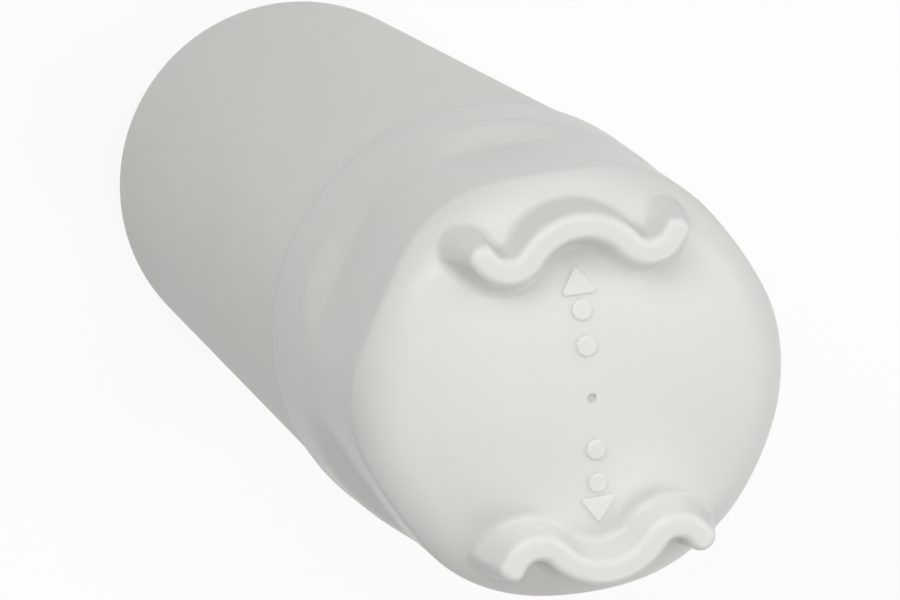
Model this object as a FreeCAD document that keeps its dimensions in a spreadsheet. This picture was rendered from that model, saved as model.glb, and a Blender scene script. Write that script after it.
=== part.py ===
import FreeCAD, Part
import math
import operator
import os
import Sketcher

# Sealed water filter cartridge for a refrigerator.
# It stands on the flat nose of its neck: +Z runs from the neck up to the grip end,
# the Z axis is the cartridge's own axis, and the two grips lie on the +Y and -Y sides.

# Driving dimensions, in millimetres and degrees
DIMENSIONS = {
    # housing
    "body_diameter": 68.0,
    "body_length": 195.8,
    "shell_wall": 2.6,
    "shoulder_wall": 3.0,
    "rim_radius": 2.0,
    # weld between the shell and the grip cap
    "weld_depth": 56.0,
    "spigot_length": 6.0,
    "spigot_wall": 1.2,
    "weld_bevel": 0.4,
    # grip cap
    "cap_overhang": 0.6,
    "cap_draft": 2.5,
    "dome_inset": 1.2,
    "crown_radius": 67.0,
    "corner_radius": 12.0,
    "cap_wall": 2.8,
    "crown_wall": 3.2,
    "inner_corner_radius": 7.8,
    # six bowed flats round the cap, for turning it by hand
    "flat_inset": 3.1,
    "flat_bow": 5.0,
    "flat_length": 43.0,
    "lip_length": 10.0,
    "ledge_rounding": 2.5,
    # wavy grip walls
    "crest_height": 2.0,
    "crest_width": 3.6,
    "grip_inset": 6.1,
    "arch_radius": 9.0,
    "valley_radius": 4.0,
    "wave_angle": 53.0,
    "leg_angle": 55.0,
    "leg_length": 1.6,
    "leg_roundness": 1.15,
    "grip_root": 12.0,
    "outer_spread": 1.5,
    "inner_spread": 3.6,
    "tip_spread": 1.2,
    "leg_rounding": 1.4,
    "crest_rounding": 1.3,
    "grip_foot_rounding": 1.6,
    # raised marks and the moulding gate on the dome
    "mark_height": 0.45,
    "mark_root": 1.0,
    "dot_diameter": 3.0,
    "dot_spacing": 5.1,
    "dot_to_triangle": 4.3,
    "triangle_inset": 8.4,
    "triangle_length": 4.4,
    "triangle_width": 5.8,
    "triangle_rounding": 0.5,
    "mark_rounding": 0.35,
    "gate_diameter": 1.5,
    "gate_depth": 0.6,
    # neck
    "neck_length": 24.2,
    "nose_diameter": 24.8,
    "nose_length": 4.4,
    "nose_bevel": 0.8,
    "nose_wall": 3.0,
    "stem_diameter": 27.2,
    "stem_wall": 3.8,
    "collar_diameter": 35.0,
    "collar_height": 5.6,
    "outlet_bore": 9.6,
    "outlet_depth": 7.5,
    "socket_bore": 12.0,
    "socket_wall": 1.6,
    "socket_height": 24.0,
    "port_width": 6.0,
    "port_height": 2.8,
    "port_place": 11.7,
    # bayonet lugs
    "lug_reach": 4.6,
    "lug_height": 3.2,
    "lug_span": 46.0,
    "lug_bevel": 1.4,
    # seals and their grooves
    "seal_section": 2.4,
    "groove_width": 3.2,
    "groove_depth": 2.0,
    "lower_seal_place": 7.6,
    "upper_seal_place": 15.8,
    "seal_clearance": 0.05,
    "spout_seal_section": 1.8,
    "spout_groove_width": 2.4,
    "spout_groove_depth": 1.5,
    "spout_seal_place": 14.0,
    # filter element
    "element_gap": 2.1,
    "crown_gap": 14.6,
    "block_bore": 14.0,
    "wrap_thickness": 1.2,
    "wrap_clearance": 0.05,
    "end_plate": 2.5,
    "end_rim_wall": 1.2,
    "end_rim_height": 5.0,
    "standoff_height": 2.0,
    "standoff_width": 2.0,
    "standoff_inner": 12.0,
    "spout_bore": 6.4,
    "spout_clearance": 0.2,
    "spout_gap": 1.0,
    "fin_thickness": 1.8,
    "fin_height": 9.0,
    "post_diameter": 9.0,
    "fit_clearance": 0.3,
}


class Size:
    """A number together with the spreadsheet expression that gives it."""

    def __init__(self, value, text):
        self.value = float(value)
        self.text = text

    def __add__(self, other):
        return combine(operator.add, "+", self, other)

    def __radd__(self, other):
        return combine(operator.add, "+", other, self)

    def __sub__(self, other):
        return combine(operator.sub, "-", self, other)

    def __rsub__(self, other):
        return combine(operator.sub, "-", other, self)

    def __mul__(self, other):
        return combine(operator.mul, "*", self, other)

    def __rmul__(self, other):
        return combine(operator.mul, "*", other, self)

    def __truediv__(self, other):
        return combine(operator.truediv, "/", self, other)

    def __neg__(self):
        return combine(operator.mul, "*", -1, self)


def as_size(number):
    """Wraps a plain number, so that it can stand in a formula."""
    return number if isinstance(number, Size) else Size(number, repr(float(number)))


def combine(action, sign, left, right):
    """Joins two terms by an arithmetic sign."""
    left, right = as_size(left), as_size(right)
    return Size(action(left.value, right.value), f"({left.text} {sign} {right.text})")


def root(size):
    return Size(math.sqrt(size.value), f"sqrt({size.text})")


def sine(angle):
    return Size(math.sin(math.radians(angle.value)), f"sin({angle.text})")


def cosine(angle):
    return Size(math.cos(math.radians(angle.value)), f"cos({angle.text})")


def bind(thing, place, size):
    """Ties one property of a document object to the spreadsheet."""
    thing.setExpression(place, as_size(size).text)


# Document and spreadsheet
doc = FreeCAD.newDocument("FilterCartridge")
sheet = doc.addObject("Spreadsheet::Sheet", "Dimensions")


class Dimensions:
    """Holds one Size for each driving dimension, under the dimension's own name."""


dim = Dimensions()
for row, (name, number) in enumerate(DIMENSIONS.items(), start=1):
    sheet.set(f"A{row}", name)
    sheet.set(f"B{row}", str(number))
    sheet.setAlias(f"B{row}", name)
    setattr(dim, name, Size(number, f"Dimensions.{name}"))
doc.recompute()


# Sketch and feature helpers
LINE = None
LEFT = 1
RIGHT = -1
TOLERANCE = 0.001
UPRIGHT = 0.5
GRIP_COUNT = 2
FLAT_COUNT = 6
LIP_STEP_COUNT = 5
LUG_COUNT = 2
PORT_COUNT = 4
RIB_COUNT = 4


def new_body(name):
    body = doc.addObject("PartDesign::Body", name)
    body.Label = name
    return body


def origin_feature(body, role):
    return next(item for item in body.Origin.OriginFeatures if item.Role == role)


def new_sketch(body, name, plane="XY_Plane", offset=None):
    """Makes a sketch on one of the body's origin planes, lifted off it by an offset."""
    sketch = body.newObject("Sketcher::SketchObject", name)
    sketch.AttachmentSupport = (origin_feature(body, plane), [""])
    sketch.MapMode = "FlatFace"
    if offset is not None:
        bind(sketch, "AttachmentOffset.Base.z", offset)
    return sketch


def flat_vector(point):
    return FreeCAD.Vector(as_size(point[0]).value, as_size(point[1]).value, 0)


def arc_between(start, end, radius, side):
    """Gives the short arc from start to end whose centre lies on the given side of the way."""
    chord = end - start
    across = FreeCAD.Vector(-chord.y, chord.x, 0).normalize() * side
    centre = (start + end) / 2 + across * math.sqrt(radius ** 2 - chord.Length ** 2 / 4)
    middle = centre - across * radius
    return Part.Arc(start, middle, end)


def pin_point(sketch, edge, end, point):
    """Ties one end of a sketch edge to its place, measured from the sketch's origin."""
    for kind, axis, number in (("DistanceX", -2, point[0]), ("DistanceY", -1, point[1])):
        if not isinstance(number, Size) and number == 0:
            sketch.addConstraint(Sketcher.Constraint("PointOnObject", edge, end, axis))
            continue
        size = as_size(number)
        index = sketch.addConstraint(Sketcher.Constraint(kind, -1, 1, edge, end, size.value))
        bind(sketch, f"Constraints[{index}]", size)


def outline(sketch, corners):
    """Draws a closed outline.

    Each corner is (x, y, way on), where the way on to the next corner is LINE
    or an arc given as (radius, side of the centre).
    """
    edges = []
    for index, (x, y, way) in enumerate(corners):
        start = flat_vector((x, y))
        end = flat_vector(corners[(index + 1) % len(corners)])
        if way is LINE:
            edges.append((sketch.addGeometry(Part.LineSegment(start, end)), 1, 2))
            continue
        radius, side = way
        edge = sketch.addGeometry(arc_between(start, end, as_size(radius).value, side))
        # an arc is stored counter-clockwise, so its first point depends on the side
        edges.append((edge, 1, 2) if side == LEFT else (edge, 2, 1))
    for index, (edge, first, _) in enumerate(edges):
        before, _, last = edges[index - 1]
        sketch.addConstraint(Sketcher.Constraint("Coincident", before, last, edge, first))
        x, y, way = corners[index]
        pin_point(sketch, edge, first, (x, y))
        if way is not LINE:
            index_radius = sketch.addConstraint(
                Sketcher.Constraint("Radius", edge, as_size(way[0]).value))
            bind(sketch, f"Constraints[{index_radius}]", way[0])


def circle(sketch, x, y, diameter):
    """Draws a circle at a place of the sketch."""
    size = as_size(diameter)
    edge = sketch.addGeometry(
        Part.Circle(flat_vector((x, y)), FreeCAD.Vector(0, 0, 1), size.value / 2))
    pin_point(sketch, edge, 3, (x, y))
    index = sketch.addConstraint(Sketcher.Constraint("Diameter", edge, size.value))
    bind(sketch, f"Constraints[{index}]", size)


def turned(body, name, corners, kind="PartDesign::Revolution"):
    """Turns a half section, drawn as (radius, height), about the body's Z axis."""
    sketch = new_sketch(body, name + "_section", "XZ_Plane")
    outline(sketch, corners)
    feature = body.newObject(kind, name)
    feature.Profile = sketch
    feature.ReferenceAxis = (sketch, ["V_Axis"])
    feature.Angle = 360
    doc.recompute()
    return feature


def padded(body, name, sketch, length, kind="PartDesign::Pad", reverse=False):
    feature = body.newObject(kind, name)
    feature.Profile = sketch
    bind(feature, "Length", length)
    feature.Reversed = reverse
    doc.recompute()
    return feature


def turned_copies(body, name, features, count):
    """Repeats features evenly about the Z axis."""
    pattern = body.newObject("PartDesign::PolarPattern", name)
    pattern.Originals = features
    pattern.Axis = (origin_feature(body, "Z_Axis"), [""])
    pattern.Angle = 360
    pattern.Occurrences = count
    body.Tip = pattern
    doc.recompute()
    return pattern


def dressed(body, name, kind, keep, size):
    """Rounds or bevels the edges of the body's last feature that the test keeps."""
    base = body.Tip
    names = [f"Edge{i}" for i, edge in enumerate(base.Shape.Edges, start=1) if keep(edge)]
    if not names:
        raise RuntimeError(f"{name}: no edge found")
    feature = body.newObject(kind, name)
    feature.Base = (base, names)
    bind(feature, "Radius" if kind.endswith("Fillet") else "Size", size)
    doc.recompute()
    return feature


# Heights that several pieces share
apex = dim.neck_length + dim.body_length
weld_height = apex - dim.weld_depth
shell_radius = dim.body_diameter / 2
shell_inner = shell_radius - dim.shell_wall
cap_radius = shell_radius + dim.cap_overhang
dome_radius = cap_radius - dim.dome_inset
flat_reach = cap_radius - dim.flat_inset
cap_inner = flat_reach - dim.cap_wall
spigot_radius = shell_inner + dim.spigot_wall
floor_height = dim.neck_length + dim.shoulder_wall
crest_level = apex + dim.crest_height
arch_reach = flat_reach - dim.grip_inset
triangle_place = arch_reach - dim.triangle_inset
outer_dot_place = triangle_place - dim.dot_to_triangle
inner_dot_place = outer_dot_place - dim.dot_spacing


def dome_corners(side_radius, corner, crown, top):
    """Section corners of a dome: side wall, corner arc, crown arc, top point."""
    lean = (side_radius - corner) / (crown - corner)
    rise = root(1 - lean * lean)
    corner_height = top - crown + (crown - corner) * rise
    return [
        (side_radius, corner_height, (corner, LEFT)),
        (crown * lean, top - crown + crown * rise, (crown, LEFT)),
        (0, top, LINE),
    ]


def dome_height(place):
    """Height of the crown's surface at a distance from the axis."""
    return apex - dim.crown_radius + root(dim.crown_radius * dim.crown_radius - place * place)


def side_radius(height):
    """Radius of the cap's drafted side at a height, between the flats."""
    return cap_radius - dim.cap_draft * (height - weld_height) / dim.weld_depth


# Grip cap: domed end moulding with two wavy grip walls, and six flats round its drafted side
cap = new_body("grip_cap")
lip_foot = apex - dim.flat_length
turned(cap, "cap_rim", [
    (0, weld_height, LINE),
    (cap_radius - dim.weld_bevel, weld_height, LINE),
    (cap_radius, weld_height + dim.weld_bevel, LINE),
    (side_radius(lip_foot), lip_foot, LINE),
    (0, lip_foot, LINE),
])


def six_sided(name, height, side_reach, corner_reach):
    """Draws a round outline with six bowed sides that run smoothly into its corners.

    The arc of a side turns by the flat's bow each way, and the arc of a corner takes up
    the rest of the turn. Where both reaches are the same, the outline is a circle.
    """
    sketch = new_sketch(cap, name, offset=height)
    half_turn = as_size(180 / FLAT_COUNT)
    side_share = sine(half_turn) / sine(dim.flat_bow)
    bow_share = side_share * cosine(dim.flat_bow) - cosine(half_turn)
    corner_shift = (corner_reach - side_reach) / (bow_share + 1 - side_share)
    side_arc = side_reach + bow_share * corner_shift
    corner_arc = corner_reach - corner_shift
    along = side_reach - side_arc * (1 - cosine(dim.flat_bow))
    across = side_arc * sine(dim.flat_bow)
    corners = []
    for index in range(FLAT_COUNT):
        facing = 90 + as_size(360 / FLAT_COUNT) * index
        for way, arc in ((-1, side_arc), (1, corner_arc)):
            corners.append((along * cosine(facing) - way * across * sine(facing),
                            along * sine(facing) + way * across * cosine(facing), (arc, LEFT)))
    outline(sketch, corners)
    return sketch


# The sides sink in along a soft lip, then run straight up past the dome
lip_outlines = []
for step in range(LIP_STEP_COUNT + 1):
    rise = step / LIP_STEP_COUNT
    sink = rise * rise * (3 - 2 * rise)
    lip_level = lip_foot + dim.lip_length * rise
    lip_corner = side_radius(lip_level)
    lip_side = lip_corner - (lip_corner - flat_reach) * sink
    lip_outlines.append(six_sided(f"lip_outline_{step}", lip_level, lip_side, lip_corner))
lip_outlines.append(six_sided("flats_outline", crest_level, flat_reach, side_radius(crest_level)))
flats = cap.newObject("PartDesign::AdditiveLoft", "flats")
flats.Profile = lip_outlines[0]
flats.Sections = lip_outlines[1:]
flats.Ruled = True
doc.recompute()
dome = dome_corners(dome_radius, dim.corner_radius, dim.crown_radius, apex)
turned(cap, "dome", dome + [
    (0, crest_level + dim.crest_height, LINE),
    (cap_radius, crest_level + dim.crest_height, LINE),
    (cap_radius, dome[0][1], LINE),
], "PartDesign::Groove")


def mark_sketch(name, place):
    """Lays a sketch into the dome's surface at a distance from the axis on the +Y side."""
    sketch = new_sketch(cap, name)
    lean = place / dim.crown_radius
    sketch.AttachmentOffset = FreeCAD.Placement(
        FreeCAD.Vector(0, place.value, dome_height(place).value),
        FreeCAD.Rotation(FreeCAD.Vector(-1, 0, 0), math.degrees(math.asin(lean.value))))
    bind(sketch, "AttachmentOffset.Base.y", place)
    bind(sketch, "AttachmentOffset.Base.z", dome_height(place))
    bind(sketch, "AttachmentOffset.Rotation.Angle", Size(0, f"asin({lean.text})"))
    return sketch


def raised_mark(name, sketch):
    """Raises a mark from under the dome's skin to its own height above it."""
    mark = padded(cap, name, sketch, dim.mark_height)
    mark.SideType = "Two sides"
    bind(mark, "Length2", dim.mark_root)
    doc.recompute()
    return mark


marks = []
for mark_name, mark_place in (("inner_dot", inner_dot_place), ("outer_dot", outer_dot_place)):
    dot_sketch = mark_sketch(mark_name + "_outline", mark_place)
    circle(dot_sketch, 0, 0, dim.dot_diameter)
    marks.append(raised_mark(mark_name, dot_sketch))

# The triangle points at the grip; its corners are rounded in the outline
triangle_half = dim.triangle_width / 2
triangle_foot = -dim.triangle_length / 2
triangle_side = root(dim.triangle_length * dim.triangle_length + triangle_half * triangle_half)
foot_run = dim.triangle_rounding * dim.triangle_length / (triangle_side - triangle_half)
tip_run = dim.triangle_rounding * dim.triangle_length / triangle_half
foot_x = triangle_half - foot_run * triangle_half / triangle_side
foot_y = triangle_foot + foot_run * dim.triangle_length / triangle_side
tip_x = tip_run * triangle_half / triangle_side
tip_y = dim.triangle_length / 2 - tip_run * dim.triangle_length / triangle_side
corner_bend = (dim.triangle_rounding, LEFT)
triangle_sketch = mark_sketch("triangle_outline", triangle_place)
outline(triangle_sketch, [
    (foot_run - triangle_half, triangle_foot, LINE),
    (triangle_half - foot_run, triangle_foot, corner_bend),
    (foot_x, foot_y, LINE),
    (tip_x, tip_y, corner_bend),
    (-tip_x, tip_y, LINE),
    (-foot_x, foot_y, corner_bend),
])
marks.append(raised_mark("triangle", triangle_sketch))


def grip_sketch(name, height, outer, inner, tip):
    """Draws the wavy band of a grip wall.

    The centre line is an arch that bows away from the axis between two valleys, each
    followed by a straight leg with a rounded end. Outer, inner and tip say how far the
    outline stands off that line on its far side, its near side and at the legs' ends.
    """
    sketch = new_sketch(cap, name, offset=height)
    swing = dim.arch_radius + dim.valley_radius
    arch_y = arch_reach - dim.arch_radius
    leg_end = ((outer + inner) / 2 * dim.leg_roundness, RIGHT)
    valley_x = swing * sine(dim.wave_angle)
    valley_y = arch_y + swing * cosine(dim.wave_angle)

    def bends(shift, side):
        """Corners along one face on one side: end of the arch, end of the valley, leg end."""
        arch = dim.arch_radius + shift
        valley = dim.valley_radius - shift
        leg = dim.leg_length + tip
        bend_x = valley_x + valley * sine(dim.leg_angle)
        bend_y = valley_y - valley * cosine(dim.leg_angle)
        return [
            (side * arch * sine(dim.wave_angle), arch_y + arch * cosine(dim.wave_angle)),
            (side * bend_x, bend_y),
            (side * (bend_x + leg * cosine(dim.leg_angle)), bend_y + leg * sine(dim.leg_angle)),
        ]

    corners = []
    for shift, order, turn in ((outer, (-1, 1), 1), (-inner, (1, -1), -1)):
        arch_bend = (dim.arch_radius + shift, RIGHT * turn)
        valley_bend = (dim.valley_radius - shift, LEFT * turn)
        near = bends(shift, order[0])
        far = bends(shift, order[1])
        corners += [near[2] + (LINE,), near[1] + (valley_bend,), near[0] + (arch_bend,),
                    far[0] + (valley_bend,), far[1] + (LINE,), far[2] + (leg_end,)]
    outline(sketch, corners)
    return sketch


crest_half = dim.crest_width / 2
root_sketch = grip_sketch("grip_root_outline", apex - dim.grip_root,
                          crest_half + dim.outer_spread,
                          crest_half + dim.inner_spread, dim.tip_spread)
crest_sketch = grip_sketch("grip_crest_outline", crest_level, crest_half, crest_half, 0)
grip = cap.newObject("PartDesign::AdditiveLoft", "grip_wall")
grip.Profile = root_sketch
grip.Sections = [crest_sketch]
grip.Ruled = True
doc.recompute()
turned_copies(cap, "cap_pair", marks + [grip], GRIP_COUNT)


def leg_reach(point):
    """How far a point lies along the direction of the leg on its side."""
    return abs(point.x) * cosine(dim.leg_angle).value + abs(point.y) * sine(dim.leg_angle).value


def at_crest(point):
    return abs(point.z - crest_level.value) < TOLERANCE


def is_leg_corner(edge):
    """True for the four upright edges at the end of each grip's legs."""
    ends = [vertex.Point for vertex in edge.Vertexes]
    tops = [point for point in ends if at_crest(point)]
    return len(ends) == 2 and len(tops) == 1 and leg_reach(tops[0]) > leg_tip - TOLERANCE


def is_crest_edge(edge):
    """True for the edges that bound a grip's flat crest."""
    return all(at_crest(vertex.Point) for vertex in edge.Vertexes)


def is_dome(face):
    """True for the dome's crown and for its rounded corner."""
    surface = face.Surface
    if isinstance(surface, Part.Sphere):
        return abs(surface.Radius - dim.crown_radius.value) < TOLERANCE
    return isinstance(surface, (Part.Toroid, Part.SurfaceOfRevolution))


def bounds_dome(edge):
    """True for an edge between the dome and another face."""
    faces = cap.Tip.Shape.ancestorsOfType(edge, Part.Face)
    return len(faces) == 2 and len([face for face in faces if is_dome(face)]) == 1


def is_ledge(edge):
    """True where the dome meets the flats and the corners between them."""
    reaches = [math.hypot(vertex.X, vertex.Y) for vertex in edge.Vertexes]
    return bounds_dome(edge) and min(reaches) > flat_reach.value - TOLERANCE


def is_grip_foot(edge):
    """True where a grip wall meets the dome."""
    middle = edge.CenterOfMass
    off_marks = abs(middle.x) > dim.triangle_width.value or abs(middle.y) > mark_end
    return bounds_dome(edge) and off_marks and not is_ledge(edge)


def is_mark_top(edge):
    """True for the edge round the flat top of a raised mark."""
    faces = cap.Tip.Shape.ancestorsOfType(edge, Part.Face)
    middle = edge.CenterOfMass
    on_marks = abs(middle.x) < dim.triangle_width.value and abs(middle.y) < mark_end
    return on_marks and any(isinstance(face.Surface, Part.Plane) and abs(face.Surface.Axis.z) > UPRIGHT
                            and middle.z > grip_base for face in faces)


grip_base = (apex - dim.grip_root).value
mark_end = (triangle_place + dim.triangle_length / 2 + dim.mark_height).value
leg_tip = max(leg_reach(v.Point) for v in cap.Tip.Shape.Vertexes if at_crest(v.Point))
dressed(cap, "leg_ends", "PartDesign::Fillet", is_leg_corner, dim.leg_rounding)
dressed(cap, "grip_feet", "PartDesign::Fillet", is_grip_foot, dim.grip_foot_rounding)
dressed(cap, "grip_crests", "PartDesign::Fillet", is_crest_edge, dim.crest_rounding)
dressed(cap, "mark_tops", "PartDesign::Fillet", is_mark_top, dim.mark_rounding)
dressed(cap, "ledge", "PartDesign::Fillet", is_ledge, dim.ledge_rounding)

gate_sketch = new_sketch(cap, "gate_outline", offset=apex)
circle(gate_sketch, 0, 0, dim.gate_diameter)
padded(cap, "gate_mark", gate_sketch, dim.gate_depth, "PartDesign::Pocket")

socket_radius = spigot_radius + dim.seal_clearance
socket_top = weld_height + dim.spigot_length + dim.fit_clearance
inner_apex = apex - dim.crown_wall
turned(cap, "cap_hollow", [
    (0, weld_height, LINE),
    (socket_radius, weld_height, LINE),
    (socket_radius, socket_top, LINE),
    (cap_inner, socket_top, LINE),
] + dome_corners(cap_inner, dim.inner_corner_radius, dim.crown_radius - dim.crown_wall, inner_apex),
    "PartDesign::Groove")

# Body shell: long cup with the shoulder, the neck and the bayonet lugs in one moulding
shell = new_body("body_shell")
stem_radius = dim.stem_diameter / 2
stem_inner = stem_radius - dim.stem_wall
nose_radius = dim.nose_diameter / 2
groove_floor = stem_radius - dim.groove_depth
collar_radius = dim.collar_diameter / 2
collar_foot = dim.neck_length - dim.collar_height
outlet_radius = dim.outlet_bore / 2
socket_inner = dim.socket_bore / 2
socket_outer = socket_inner + dim.socket_wall


def groove_corners(place, wall, bottom, width):
    """Section corners of a seal groove, from its lower lip to its upper lip."""
    low = place - width / 2
    high = place + width / 2
    return [(wall, low, LINE), (bottom, low, LINE), (bottom, high, LINE), (wall, high, LINE)]


turned(shell, "shell_form", [
    (outlet_radius, 0, LINE),
    (nose_radius - dim.nose_bevel, 0, LINE),
    (nose_radius, dim.nose_bevel, LINE),
    (nose_radius, dim.nose_length, LINE),
    (stem_radius, dim.nose_length + (stem_radius - nose_radius) / 2, LINE),
] + groove_corners(dim.lower_seal_place, stem_radius, groove_floor, dim.groove_width)
  + groove_corners(dim.upper_seal_place, stem_radius, groove_floor, dim.groove_width) + [
    (stem_radius, collar_foot, LINE),
    (collar_radius, collar_foot, LINE),
    (collar_radius, dim.neck_length, LINE),
    (shell_radius - dim.rim_radius, dim.neck_length, (dim.rim_radius, LEFT)),
    (shell_radius, dim.neck_length + dim.rim_radius, LINE),
    (shell_radius, weld_height, LINE),
    (spigot_radius, weld_height, LINE),
    (spigot_radius, weld_height + dim.spigot_length, LINE),
    (shell_inner, weld_height + dim.spigot_length, LINE),
    (shell_inner, floor_height, LINE),
    (stem_inner, floor_height, LINE),
    (stem_inner, dim.nose_wall, LINE),
    (socket_outer, dim.nose_wall, LINE),
    (socket_outer, dim.socket_height, LINE),
    (socket_inner, dim.socket_height, LINE),
    (socket_inner, dim.outlet_depth, LINE),
    (outlet_radius, dim.outlet_depth, LINE),
])

# Two lugs stand out of the collar, each an arc of a ring with a bevelled leading edge
lug_sketch = new_sketch(shell, "lug_outline", offset=collar_foot)
lug_root = collar_radius - dim.shell_wall
lug_outer = collar_radius + dim.lug_reach
half_span = dim.lug_span / 2
outline(lug_sketch, [
    (lug_root * cosine(half_span), -lug_root * sine(half_span), LINE),
    (lug_outer * cosine(half_span), -lug_outer * sine(half_span), (lug_outer, LEFT)),
    (lug_outer * cosine(half_span), lug_outer * sine(half_span), LINE),
    (lug_root * cosine(half_span), lug_root * sine(half_span), (lug_root, RIGHT)),
])
lug = padded(shell, "bayonet_lug", lug_sketch, dim.lug_height)
turned_copies(shell, "lug_pair", [lug], LUG_COUNT)


def is_lug_end(edge):
    """True for the edges where a lug's shoulder side ends, which lead it into its track."""
    heights = [vertex.Point.z for vertex in edge.Vertexes]
    level = (collar_foot + dim.lug_height).value
    straight = isinstance(edge.Curve, Part.Line)
    return straight and all(abs(height - level) < TOLERANCE for height in heights)


dressed(shell, "lug_lead", "PartDesign::Chamfer", is_lug_end, dim.lug_bevel)

# Four inlet ports lead from between the two seals into the neck's ring-shaped passage
port_sketch = new_sketch(shell, "port_outline", "YZ_Plane", (stem_inner + socket_outer) / 2)
port_half = dim.port_width / 2
port_low = dim.port_place - dim.port_height / 2
port_high = dim.port_place + dim.port_height / 2
outline(port_sketch, [
    (-port_half, port_low, LINE),
    (port_half, port_low, LINE),
    (port_half, port_high, LINE),
    (-port_half, port_high, LINE),
])
port = padded(shell, "inlet_port", port_sketch, stem_radius, "PartDesign::Pocket", reverse=True)
turned_copies(shell, "port_ring", [port], PORT_COUNT)

# Filter element: carbon block in its wrap, closed by an end cap at each end
bore_radius = dim.block_bore / 2
rim_outer = cap_inner - dim.element_gap
rim_inner = rim_outer - dim.end_rim_wall
wrap_outer = rim_inner - dim.wrap_clearance
wrap_inner = wrap_outer - dim.wrap_thickness
block_radius = wrap_inner - dim.wrap_clearance
plate_height = floor_height + dim.standoff_height
block_foot = plate_height + dim.end_plate
block_top = inner_apex - dim.crown_gap - dim.end_plate

block = new_body("carbon_block")
turned(block, "block_form", [
    (bore_radius, block_foot, LINE),
    (block_radius, block_foot, LINE),
    (block_radius, block_top, LINE),
    (bore_radius, block_top, LINE),
])

wrap = new_body("prefilter_wrap")
turned(wrap, "wrap_form", [
    (wrap_inner, block_foot, LINE),
    (wrap_outer, block_foot, LINE),
    (wrap_outer, block_top, LINE),
    (wrap_inner, block_top, LINE),
])

outlet_cap = new_body("outlet_end_cap")
spout_radius = socket_inner - dim.spout_clearance
spout_floor = spout_radius - dim.spout_groove_depth
spout_tip = dim.outlet_depth + dim.spout_gap
turned(outlet_cap, "outlet_cap_form", [
    (dim.spout_bore / 2, spout_tip, LINE),
    (spout_radius, spout_tip, LINE),
] + groove_corners(dim.spout_seal_place, spout_radius, spout_floor, dim.spout_groove_width) + [
    (spout_radius, plate_height, LINE),
    (rim_outer, plate_height, LINE),
    (rim_outer, block_foot + dim.end_rim_height, LINE),
    (rim_inner, block_foot + dim.end_rim_height, LINE),
    (rim_inner, block_foot, LINE),
    (dim.spout_bore / 2, block_foot, LINE),
])
standoff_sketch = new_sketch(outlet_cap, "standoff_outline", offset=floor_height)
standoff_half = dim.standoff_width / 2
outline(standoff_sketch, [
    (dim.standoff_inner, -standoff_half, LINE),
    (block_radius, -standoff_half, LINE),
    (block_radius, standoff_half, LINE),
    (dim.standoff_inner, standoff_half, LINE),
])
standoff = padded(outlet_cap, "standoff", standoff_sketch, dim.standoff_height)
turned_copies(outlet_cap, "standoff_ring", [standoff], RIB_COUNT)

closed_cap = new_body("closed_end_cap")
post_radius = dim.post_diameter / 2
inner_crown = dim.crown_radius - dim.crown_wall
post_top = (inner_apex - inner_crown + root(inner_crown * inner_crown - post_radius * post_radius)
            - dim.fit_clearance)
turned(closed_cap, "closed_cap_form", [
    (0, block_top, LINE),
    (rim_inner, block_top, LINE),
    (rim_inner, block_top - dim.end_rim_height, LINE),
    (rim_outer, block_top - dim.end_rim_height, LINE),
    (rim_outer, block_top + dim.end_plate, LINE),
    (post_radius, block_top + dim.end_plate, LINE),
    (post_radius, post_top, LINE),
    (0, post_top, LINE),
])
fin_sketch = new_sketch(closed_cap, "fin_outline", offset=block_top + dim.end_plate - dim.fin_height)
fin_half = dim.fin_thickness / 2
outline(fin_sketch, [
    (rim_inner + dim.end_rim_wall / 2, -fin_half, LINE),
    (cap_inner - dim.fit_clearance, -fin_half, LINE),
    (cap_inner - dim.fit_clearance, fin_half, LINE),
    (rim_inner + dim.end_rim_wall / 2, fin_half, LINE),
])
fin = padded(closed_cap, "centring_fin", fin_sketch, dim.fin_height)
turned_copies(closed_cap, "fin_ring", [fin], RIB_COUNT)


# Seals: plain rings of round rubber
def seal_ring(name, floor, section, place):
    ring = doc.addObject("Part::Torus", name)
    ring.Label = name
    bind(ring, "Radius1", floor + dim.seal_clearance + section / 2)
    bind(ring, "Radius2", section / 2)
    bind(ring, "Placement.Base.z", place)
    return ring


seals = [
    seal_ring("neck_seal_lower", groove_floor, dim.seal_section, dim.lower_seal_place),
    seal_ring("neck_seal_upper", groove_floor, dim.seal_section, dim.upper_seal_place),
    seal_ring("spout_seal", spout_floor, dim.spout_seal_section, dim.spout_seal_place),
]
doc.recompute()

# Check every object, then write one file for each piece
pieces = [cap, shell, block, wrap, outlet_cap, closed_cap] + seals
for thing in doc.Objects:
    if "Invalid" in thing.State or "Error" in thing.State:
        raise RuntimeError(f"{thing.Name} is {thing.State}")
for piece in pieces:
    if piece.Shape.isNull() or not piece.Shape.isValid() or len(piece.Shape.Solids) != 1:
        raise RuntimeError(f"{piece.Label} is not one sound solid")
os.makedirs("parts", exist_ok=True)
for piece in pieces:
    piece.Shape.exportStep(f"parts/{piece.Label}.step")
    print(piece.Label, round(piece.Shape.Volume), piece.Shape.BoundBox)
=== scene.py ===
"""Looks of a sealed water filter cartridge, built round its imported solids."""

import logging
import math
import random
from dataclasses import dataclass, field
from enum import Enum

import bmesh
import bpy
from mathutils import Matrix, Vector


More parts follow.
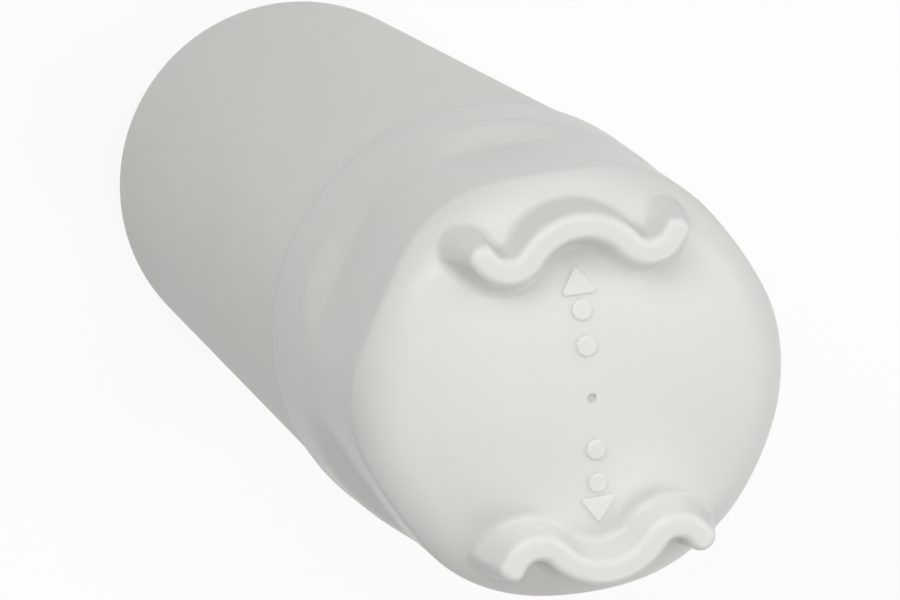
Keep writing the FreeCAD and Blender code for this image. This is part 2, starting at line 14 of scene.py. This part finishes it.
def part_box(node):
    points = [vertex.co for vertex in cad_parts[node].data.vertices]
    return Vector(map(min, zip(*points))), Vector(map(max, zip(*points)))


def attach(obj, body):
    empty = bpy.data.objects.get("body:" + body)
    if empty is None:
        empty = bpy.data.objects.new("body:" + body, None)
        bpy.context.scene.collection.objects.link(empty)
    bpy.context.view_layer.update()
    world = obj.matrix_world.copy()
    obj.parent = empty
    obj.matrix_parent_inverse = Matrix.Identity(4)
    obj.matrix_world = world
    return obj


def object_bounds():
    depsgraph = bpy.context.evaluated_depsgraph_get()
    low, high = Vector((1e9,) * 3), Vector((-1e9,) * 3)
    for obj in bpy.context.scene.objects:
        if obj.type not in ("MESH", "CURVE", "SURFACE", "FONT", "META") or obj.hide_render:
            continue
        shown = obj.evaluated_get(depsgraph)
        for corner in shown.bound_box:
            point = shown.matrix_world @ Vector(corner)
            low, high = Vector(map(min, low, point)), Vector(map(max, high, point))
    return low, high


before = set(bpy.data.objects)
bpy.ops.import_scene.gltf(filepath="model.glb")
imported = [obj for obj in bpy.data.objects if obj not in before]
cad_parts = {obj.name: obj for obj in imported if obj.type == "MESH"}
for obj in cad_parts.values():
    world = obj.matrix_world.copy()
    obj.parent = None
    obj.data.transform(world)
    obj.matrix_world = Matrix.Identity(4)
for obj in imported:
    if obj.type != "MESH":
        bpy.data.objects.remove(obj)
cad_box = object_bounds()

MM = 0.001
# The strength at which what the camera sees of the surroundings is plain white
SEEN_WHITE = 1.0
log = logging.getLogger("cartridge")


def linear_colour(code: str) -> tuple[float, float, float, float]:
    """Turns an sRGB hex colour into the linear colour that a shader takes.

    Args:
        code: Six hex digits, with or without a leading hash.

    Returns:
        Linear red, green and blue, and an alpha of 1.
    """
    digits = code.lstrip("#")
    channels = [int(digits[start:start + 2], 16) / 255 for start in (0, 2, 4)]
    # The curve of the sRGB standard: straight near black, then a power
    red, green, blue = (
        c / 12.92 if c <= 0.04045 else ((c + 0.055) / 1.055) ** 2.4 for c in channels)
    return (red, green, blue, 1.0)


def scale_for(spacing_mm: float) -> float:
    """Texture scale, per metre, that puts a pattern's features this many millimetres apart."""
    return 1.0 / (spacing_mm * MM)


def add_node(
    tree: bpy.types.NodeTree,
    kind: str,
    settings: dict[str, object] | None = None,
    links: dict[str, bpy.types.NodeSocket] | None = None,
) -> bpy.types.Node:
    """Adds a node with its settings and links.

    Args:
        tree: The node tree that takes the node.
        kind: The node's type name.
        settings: Values for the node's own properties or its input sockets, by name.
        links: Output sockets of other nodes to join to this node's inputs, by input name.

    Returns:
        The new node.
    """
    node = tree.nodes.new(kind)
    for name, value in (settings or {}).items():
        if name in node.inputs:
            node.inputs[name].default_value = value
        else:
            setattr(node, name, value)
    for name, socket in (links or {}).items():
        tree.links.new(socket, node.inputs[name])
    return node


class Gloss(Enum):
    """How far the mould's face was polished, as the roughness that it leaves on the plastic."""

    SEMI = 0.3
    SATIN = 0.4
    MATT = 0.6


@dataclass(frozen=True)
class Finish:
    """What all finishes share: a name, two close colours that drift, and a fine relief."""

    name: str
    colour: str
    shade: str
    drift_mm: float
    drift_detail: float = field(default=3.0, kw_only=True)
    drift_roughness: float = field(default=0.55, kw_only=True)
    # Below the first share of the drift all is shade, above the second all is colour
    drift_shares: tuple[float, float] = field(default=(0.3, 0.7), kw_only=True)
    # How high the relief stands, and how much of it shows
    relief_mm: float = field(default=0.02, kw_only=True)
    relief_strength: float = field(default=0.6, kw_only=True)

    def material(self) -> bpy.types.Material:
        """Makes the finish's material on its first use.

        Returns:
            The material, with its drift of colour, its own surface and its relief.
        """
        if self.name in bpy.data.materials:
            return bpy.data.materials[self.name]
        material = bpy.data.materials.new(self.name)
        material.use_nodes = True
        tree = material.node_tree
        tree.nodes.clear()
        place = add_node(tree, "ShaderNodeTexCoord").outputs["Object"]
        drift = add_node(
            tree, "ShaderNodeTexNoise",
            {"Scale": scale_for(self.drift_mm), "Detail": self.drift_detail,
             "Roughness": self.drift_roughness},
            {"Vector": place})
        ramp = add_node(tree, "ShaderNodeValToRGB", links={"Fac": drift.outputs["Fac"]})
        stops = ramp.color_ramp.elements
        for stop, code, share in zip(stops, (self.shade, self.colour), self.drift_shares):
            stop.color = linear_colour(code)
            stop.position = share
        shader = add_node(
            tree, "ShaderNodeBsdfPrincipled", links={"Base Color": ramp.outputs["Color"]})
        bump = add_node(
            tree, "ShaderNodeBump",
            {"Strength": self.relief_strength, "Distance": self.relief_mm * MM},
            {"Height": self.surface(tree, shader, place)})
        tree.links.new(bump.outputs["Normal"], shader.inputs["Normal"])
        add_node(tree, "ShaderNodeOutputMaterial", links={"Surface": shader.outputs["BSDF"]})
        return material

    def surface(
        self, tree: bpy.types.NodeTree, shader: bpy.types.Node, place: bpy.types.NodeSocket
    ) -> bpy.types.NodeSocket:
        """Sets the shader's gloss and makes the relief's pattern; each finish has its own.

        Args:
            tree: The material's node tree.
            shader: The shader node to set.
            place: The object coordinates, in metres.

        Returns:
            The pattern's height, from 0 to 1.
        """
        raise NotImplementedError

    def dress(self, piece: bpy.types.Object) -> None:
        """Gives a piece this finish all over."""
        piece.data.materials.clear()
        piece.data.materials.append(self.material())


@dataclass(frozen=True)
class MouldedPolypropylene(Finish):
    """White polypropylene, injection moulded: soft broad highlights, faintly warm, uneven."""

    gloss: Gloss = Gloss.SEMI
    # Spark-eroded steel prints a fine grain; drawn coarser than its real 0.1 mm so that it shows
    grain_mm: float = 0.55
    grain_detail: float = 4.0
    relief_mm: float = 0.012
    relief_strength: float = 0.5
    # Moulded walls cool unevenly, so the gloss changes every centimetre or two
    ripple_mm: float = 16.0
    ripple_detail: float = 2.0
    roughness_spread: float = 0.05
    # The grain breaks up the shine at a low angle, so it is set below the plastic's own 1.49
    ior: float = 1.33
    # Light wanders a little way under the white skin, which softens every small shadow
    scatter_share: float = 0.6
    scatter_mm: float = 2.0
    scatter_by_colour: tuple[float, float, float] = (1.0, 1.0, 1.0)

    def surface(
        self, tree: bpy.types.NodeTree, shader: bpy.types.Node, place: bpy.types.NodeSocket
    ) -> bpy.types.NodeSocket:
        """Sets the scatter and a gloss that changes slowly, and makes the mould's grain.

        Args:
            tree: The material's node tree.
            shader: The shader node to set.
            place: The object coordinates, in metres.

        Returns:
            The grain's height.
        """
        shader.inputs["IOR"].default_value = self.ior
        shader.inputs["Subsurface Weight"].default_value = self.scatter_share
        shader.inputs["Subsurface Radius"].default_value = self.scatter_by_colour
        shader.inputs["Subsurface Scale"].default_value = self.scatter_mm * MM
        ripple = add_node(
            tree, "ShaderNodeTexNoise",
            {"Scale": scale_for(self.ripple_mm), "Detail": self.ripple_detail},
            {"Vector": place})
        gloss = add_node(
            tree, "ShaderNodeMapRange",
            {"To Min": self.gloss.value - self.roughness_spread,
             "To Max": self.gloss.value + self.roughness_spread},
            {"Value": ripple.outputs["Fac"]})
        tree.links.new(gloss.outputs["Result"], shader.inputs["Roughness"])
        grain = add_node(
            tree, "ShaderNodeTexNoise",
            {"Scale": scale_for(self.grain_mm), "Detail": self.grain_detail},
            {"Vector": place})
        return grain.outputs["Fac"]


@dataclass(frozen=True)
class MouldedRubber(Finish):
    """Black EPDM rubber, moulded and tumbled: dark, satin, with a fine powdery grain."""

    # Tumbling leaves a grain of about 0.1 mm; drawn coarser so that it shows
    grain_mm: float = 0.35
    grain_detail: float = 5.0
    relief_mm: float = 0.02
    relief_strength: float = 0.6
    roughness: float = 0.52
    ior: float = 1.52

    def surface(
        self, tree: bpy.types.NodeTree, shader: bpy.types.Node, place: bpy.types.NodeSocket
    ) -> bpy.types.NodeSocket:
        """Sets an even satin gloss and makes the tumbled grain.

        Args:
            tree: The material's node tree.
            shader: The shader node to set.
            place: The object coordinates, in metres.

        Returns:
            The grain's height.
        """
        shader.inputs["IOR"].default_value = self.ior
        shader.inputs["Roughness"].default_value = self.roughness
        grain = add_node(
            tree, "ShaderNodeTexNoise",
            {"Scale": scale_for(self.grain_mm), "Detail": self.grain_detail},
            {"Vector": place})
        return grain.outputs["Fac"]


@dataclass(frozen=True)
class PressedCarbon(Finish):
    """Carbon grains pressed with a binder: black, dull, with pits between the grains."""

    grain_mm: float = 0.7
    relief_mm: float = 0.15
    relief_strength: float = 0.9
    roughness: float = 0.88

    def surface(
        self, tree: bpy.types.NodeTree, shader: bpy.types.Node, place: bpy.types.NodeSocket
    ) -> bpy.types.NodeSocket:
        """Sets a dull gloss and makes the pressed grains with the pits between them.

        Args:
            tree: The material's node tree.
            shader: The shader node to set.
            place: The object coordinates, in metres.

        Returns:
            The height of the grains above the pits.
        """
        shader.inputs["Roughness"].default_value = self.roughness
        grains = add_node(
            tree, "ShaderNodeTexVoronoi",
            {"feature": "DISTANCE_TO_EDGE", "Scale": scale_for(self.grain_mm)},
            {"Vector": place})
        return grains.outputs["Distance"]


@dataclass(frozen=True)
class NonwovenPolypropylene(Finish):
    """Spun polypropylene fibres, laid and bonded: white, matt, with a felted lie of threads."""

    # Spun threads are about 0.03 mm thick; drawn coarser so that their lie shows
    fibre_mm: float = 0.5
    lie_mm: float = 5.0
    fibre_detail: float = 4.0
    fibre_wander: float = 0.8
    relief_mm: float = 0.12
    relief_strength: float = 0.8
    roughness: float = 0.85
    sheen: float = 0.25

    def surface(
        self, tree: bpy.types.NodeTree, shader: bpy.types.Node, place: bpy.types.NodeSocket
    ) -> bpy.types.NodeSocket:
        """Sets a matt sheen and makes threads that are much longer than they are wide.

        Args:
            tree: The material's node tree.
            shader: The shader node to set.
            place: The object coordinates, in metres.

        Returns:
            The threads' height.
        """
        shader.inputs["Roughness"].default_value = self.roughness
        shader.inputs["Sheen Weight"].default_value = self.sheen
        across, along = scale_for(self.fibre_mm), scale_for(self.lie_mm)
        lie = add_node(
            tree, "ShaderNodeMapping", {"Scale": (across, across, along)}, {"Vector": place})
        # The mapping holds the threads' size, so the pattern's own scale is 1
        fibres = add_node(
            tree, "ShaderNodeTexNoise",
            {"Scale": 1.0, "Detail": self.fibre_detail, "Distortion": self.fibre_wander},
            {"Vector": lie.outputs["Vector"]})
        return fibres.outputs["Fac"]


# Cap: the shinier moulding, with a soft sheen on the crests and no hard shadow under them
CAP_PLASTIC = MouldedPolypropylene(
    "polypropylene_moulded_cap", "#e8e7e3", "#e5e4e0", drift_mm=30.0, ior=1.4)
# Shell: less shiny and a touch cooler; a plain tube has no small shadows for scatter to soften
SHELL_PLASTIC = MouldedPolypropylene(
    "polypropylene_moulded_shell", "#eeefe9", "#ecece6", drift_mm=45.0,
    gloss=Gloss.SATIN, scatter_share=0.0)
# End caps inside: matt off-white, because nobody polishes a mould for hidden pieces
INNER_PLASTIC = MouldedPolypropylene(
    "polypropylene_moulded_inner", "#e2e2dc", "#d8d8d2", drift_mm=20.0, gloss=Gloss.MATT)
# Seals: near black, with a dim broad sheen round each ring
SEAL_RUBBER = MouldedRubber("epdm_rubber_moulded", "#242426", "#19191a", drift_mm=6.0)
# Block: dull black, speckled by its own grains
CARBON = PressedCarbon("carbon_pressed_block", "#2c2c2d", "#151515", drift_mm=3.0)
# Wrap: soft white felt without any shine
WRAP_FLEECE = NonwovenPolypropylene(
    "polypropylene_nonwoven_wrap", "#efefec", "#e2e2de", drift_mm=8.0)


@dataclass
class Housing:
    """The welded housing: grip cap, body shell, and the bead that the weld squeezed out."""

    bead_section_mm: float = 0.5
    # The bead's section swells and shrinks by this share, in waves of these counts per turn
    bead_swell: float = 0.2
    swell_waves: tuple[int, ...] = (3, 7, 13, 23, 41)
    swell_seed: int = 11
    bead_steps: int = 240
    bead_sides: int = 8

    def dress(self) -> list[bpy.types.Object]:
        """Dresses the two mouldings and adds the weld's bead.

        Returns:
            The housing's pieces.
        """
        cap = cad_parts["grip_cap"]
        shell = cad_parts["body_shell"]
        CAP_PLASTIC.dress(cap)
        SHELL_PLASTIC.dress(shell)
        return [cap, shell, self.weld_bead()]

    def bead_sizes(self) -> list[float]:
        """Draws the bead's uneven section.

        Returns:
            The section's radius in metres, step by step round the weld.
        """
        draw = random.Random(self.swell_seed)
        waves = [(count, draw.uniform(0, math.tau)) for count in self.swell_waves]
        sizes = []
        for step in range(self.bead_steps):
            turn = math.tau * step / self.bead_steps
            swell = sum(math.sin(count * turn + start) for count, start in waves) / len(waves)
            sizes.append(self.bead_section_mm / 2 * MM * (1 + self.bead_swell * swell))
        return sizes

    def bead_mesh(self) -> bpy.types.Mesh:
        """Sweeps the bead's section round the corner under the cap's rim.

        Returns:
            The bead's closed mesh.
        """
        weld_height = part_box("grip_cap")[0].z
        shell_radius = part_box("body_shell")[1].x
        mesh = bmesh.new()
        rings = []
        for step, size in enumerate(self.bead_sizes()):
            turn = math.tau * step / self.bead_steps
            ring = []
            for side in range(self.bead_sides):
                angle = math.tau * side / self.bead_sides
                reach = shell_radius + size * math.cos(angle)
                height = weld_height + size * math.sin(angle)
                place = (reach * math.cos(turn), reach * math.sin(turn), height)
                ring.append(mesh.verts.new(place))
            rings.append(ring)
        for ring, following in zip(rings, rings[1:] + rings[:1]):
            for side in range(self.bead_sides):
                after = (side + 1) % self.bead_sides
                face = mesh.faces.new((ring[side], following[side], following[after], ring[after]))
                face.smooth = True
        mesh.normal_update()
        data = bpy.data.meshes.new("weld_bead")
        mesh.to_mesh(data)
        mesh.free()
        return data

    def weld_bead(self) -> bpy.types.Object:
        """Makes the slightly uneven bead that the weld squeezed out.

        Returns:
            The bead, riding on the cartridge.
        """
        bead = bpy.data.objects.new("weld_bead", self.bead_mesh())
        bpy.context.scene.collection.objects.link(bead)
        SHELL_PLASTIC.dress(bead)
        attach(bead, "root")
        return bead


@dataclass
class Seals:
    """The rubber rings on the neck and on the spout."""

    nodes: tuple[str, ...] = ("neck_seal_lower", "neck_seal_upper", "spout_seal")

    def dress(self) -> list[bpy.types.Object]:
        """Dresses the rings.

        Returns:
            The rings.
        """
        rings = [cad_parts[name] for name in self.nodes]
        for ring in rings:
            SEAL_RUBBER.dress(ring)
        return rings


@dataclass
class FilterElement:
    """The element inside: carbon block, wrap and the two end caps."""

    finishes: dict[str, Finish] = field(default_factory=lambda: {
        "carbon_block": CARBON,
        "prefilter_wrap": WRAP_FLEECE,
        "outlet_end_cap": INNER_PLASTIC,
        "closed_end_cap": INNER_PLASTIC,
    })

    def dress(self) -> list[bpy.types.Object]:
        """Dresses the element's pieces.

        Returns:
            The pieces, in the order of their finishes.
        """
        pieces = []
        for name, finish in self.finishes.items():
            finish.dress(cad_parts[name])
            pieces.append(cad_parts[name])
        return pieces


def direction_to(azimuth_deg: float, elevation_deg: float) -> Vector:
    """Turns two angles into a direction.

    Args:
        azimuth_deg: Angle from +X towards +Y.
        elevation_deg: Angle above the floor.

    Returns:
        The unit vector that points there.
    """
    azimuth = math.radians(azimuth_deg)
    elevation = math.radians(elevation_deg)
    flat = math.cos(elevation)
    return Vector((flat * math.cos(azimuth), flat * math.sin(azimuth), math.sin(elevation)))


@dataclass(frozen=True)
class Softbox:
    """A square lamp, placed by the direction that it shines from."""

    name: str
    azimuth_deg: float
    elevation_deg: float
    power_w: float
    side_m: float = 0.55
    distance_m: float = 1.2

    def place(self, target: Vector) -> None:
        """Hangs the lamp at its distance from the target, facing it.

        Args:
            target: The point that the lamp faces, in metres.
        """
        lamp = bpy.data.lights.new(self.name, "AREA")
        lamp.shape = "SQUARE"
        lamp.size = self.side_m
        lamp.energy = self.power_w
        holder = bpy.data.objects.new(self.name, lamp)
        direction = direction_to(self.azimuth_deg, self.elevation_deg)
        holder.location = target + direction * self.distance_m
        holder.rotation_mode = "QUATERNION"
        holder.rotation_quaternion = (-direction).to_track_quat("-Z", "Y")
        holder.visible_camera = False
        bpy.context.scene.collection.objects.link(holder)


@dataclass
class Studio:
    """White floor and surroundings, soft lamps, and the photograph's camera."""

    floor_radius_m: float = 6.0
    floor_steps: int = 96
    # The floor looks almost white, but throws only a little light back up at the object
    floor_colour: str = "#fafaf9"
    floor_bounce_colour: str = "#5c5c5a"
    # Share of the seen floor that is plain white; the rest takes the object's shadow
    floor_glow: float = 0.87
    sky_colour: str = "#ffffff"
    sky_strength: float = 0.38
    lamps: tuple[Softbox, ...] = (
        Softbox("key_softbox", azimuth_deg=132.0, elevation_deg=35.0, power_w=4.5, side_m=0.6),
        Softbox("second_softbox", azimuth_deg=95.0, elevation_deg=38.0, power_w=1.7),
        Softbox("top_softbox", azimuth_deg=100.0, elevation_deg=66.0, power_w=2.0, side_m=0.5),
        Softbox("side_softbox", azimuth_deg=20.0, elevation_deg=30.0, power_w=2.6),
        Softbox("low_softbox", azimuth_deg=300.0, elevation_deg=40.0, power_w=3.0),
    )
    # The camera is fitted to the photograph's outline of the cartridge
    camera_target_mm: tuple[float, float, float] = (-19.256, 17.278, 220.0)
    camera_azimuth_deg: float = 136.2086
    camera_elevation_deg: float = 71.6817
    camera_roll_deg: float = 126.7167
    camera_distance_mm: float = 554.295
    lens_mm: float = 158.3
    sensor_mm: float = 36.0

    def build(self) -> None:
        """Builds the floor, the surroundings, the lamps and the camera."""
        bpy.context.scene.view_settings.view_transform = "Standard"
        self.floor()
        self.surroundings()
        grip_end = Vector((0, 0, cad_box[1].z))
        for lamp in self.lamps:
            lamp.place(grip_end)
        self.camera()

    def seen_directly(self, tree: bpy.types.NodeTree) -> bpy.types.NodeSocket:
        """Tells rays that show the background from rays that light the object.

        Args:
            tree: The node tree that uses the answer.

        Returns:
            A socket that is 1 for camera, glossy and transmission rays, and else 0.
        """
        path = add_node(tree, "ShaderNodeLightPath")
        mirrored = add_node(tree, "ShaderNodeMath", {"operation": "MAXIMUM"})
        tree.links.new(path.outputs["Is Glossy Ray"], mirrored.inputs[0])
        tree.links.new(path.outputs["Is Transmission Ray"], mirrored.inputs[1])
        seen = add_node(tree, "ShaderNodeMath", {"operation": "MAXIMUM"})
        tree.links.new(path.outputs["Is Camera Ray"], seen.inputs[0])
        tree.links.new(mirrored.outputs["Value"], seen.inputs[1])
        return seen.outputs["Value"]

    def floor(self) -> None:
        """Lays a round pale floor that looks white and still takes a shadow."""
        mesh = bmesh.new()
        bmesh.ops.create_circle(
            mesh, cap_ends=True, segments=self.floor_steps, radius=self.floor_radius_m)
        data = bpy.data.meshes.new("floor")
        mesh.to_mesh(data)
        mesh.free()
        floor = bpy.data.objects.new("floor", data)
        floor.location.z = cad_box[0].z
        bpy.context.scene.collection.objects.link(floor)
        data.materials.append(self.floor_board())

    def floor_board(self) -> bpy.types.Material:
        """Makes the floor's material, a painted board.

        Returns:
            The material: matt paint, part of which shows as plain white.
        """
        material = bpy.data.materials.new("floor_painted_board")
        material.use_nodes = True
        tree = material.node_tree
        tree.nodes.clear()
        seen = self.seen_directly(tree)
        colour = add_node(
            tree, "ShaderNodeMixRGB",
            {"Color1": linear_colour(self.floor_bounce_colour),
             "Color2": linear_colour(self.floor_colour)},
            {"Fac": seen})
        paint = add_node(
            tree, "ShaderNodeBsdfDiffuse", links={"Color": colour.outputs["Color"]})
        glow = add_node(
            tree, "ShaderNodeEmission",
            {"Color": linear_colour(self.sky_colour), "Strength": SEEN_WHITE})
        share = add_node(tree, "ShaderNodeMath", {"operation": "MULTIPLY"})
        tree.links.new(seen, share.inputs[0])
        share.inputs[1].default_value = self.floor_glow
        blend = add_node(tree, "ShaderNodeMixShader", links={"Fac": share.outputs["Value"]})
        tree.links.new(paint.outputs["BSDF"], blend.inputs[1])
        tree.links.new(glow.outputs["Emission"], blend.inputs[2])
        add_node(
            tree, "ShaderNodeOutputMaterial", links={"Surface": blend.outputs["Shader"]})
        return material

    def surroundings(self) -> None:
        """Lights the object evenly from all round, and shows white behind it."""
        world = bpy.data.worlds.new("studio")
        bpy.context.scene.world = world
        world.use_nodes = True
        tree = world.node_tree
        tree.nodes.clear()
        strength = add_node(
            tree, "ShaderNodeMapRange", {"To Min": self.sky_strength, "To Max": SEEN_WHITE},
            {"Value": self.seen_directly(tree)})
        sky = add_node(
            tree, "ShaderNodeBackground", {"Color": linear_colour(self.sky_colour)},
            {"Strength": strength.outputs["Result"]})
        add_node(tree, "ShaderNodeOutputWorld", links={"Surface": sky.outputs["Background"]})

    def camera(self) -> None:
        """Sets the camera where the photograph was taken from."""
        lens = bpy.data.cameras.new("camera")
        lens.lens = self.lens_mm
        lens.sensor_width = self.sensor_mm
        camera = bpy.data.objects.new("camera", lens)
        target = Vector(self.camera_target_mm) * MM
        direction = direction_to(self.camera_azimuth_deg, self.camera_elevation_deg)
        facing = (-direction).to_track_quat("-Z", "Y").to_matrix().to_4x4()
        roll = Matrix.Rotation(math.radians(self.camera_roll_deg), 4, "Z")
        place = Matrix.Translation(target + direction * self.camera_distance_mm * MM)
        camera.matrix_world = place @ facing @ roll
        bpy.context.scene.collection.objects.link(camera)
        bpy.context.scene.camera = camera


def main() -> None:
    """Dresses the cartridge's sub-assemblies in order, then builds the studio round it."""
    logging.basicConfig(level=logging.INFO, format="%(name)s: %(message)s")
    for assembly in (Housing(), Seals(), FilterElement()):
        for piece in assembly.dress():
            faces = len(piece.data.polygons)
            log.info("%s: %s, %d faces", type(assembly).__name__, piece.name, faces)
    Studio().build()


if __name__ == "__main__":
    main()
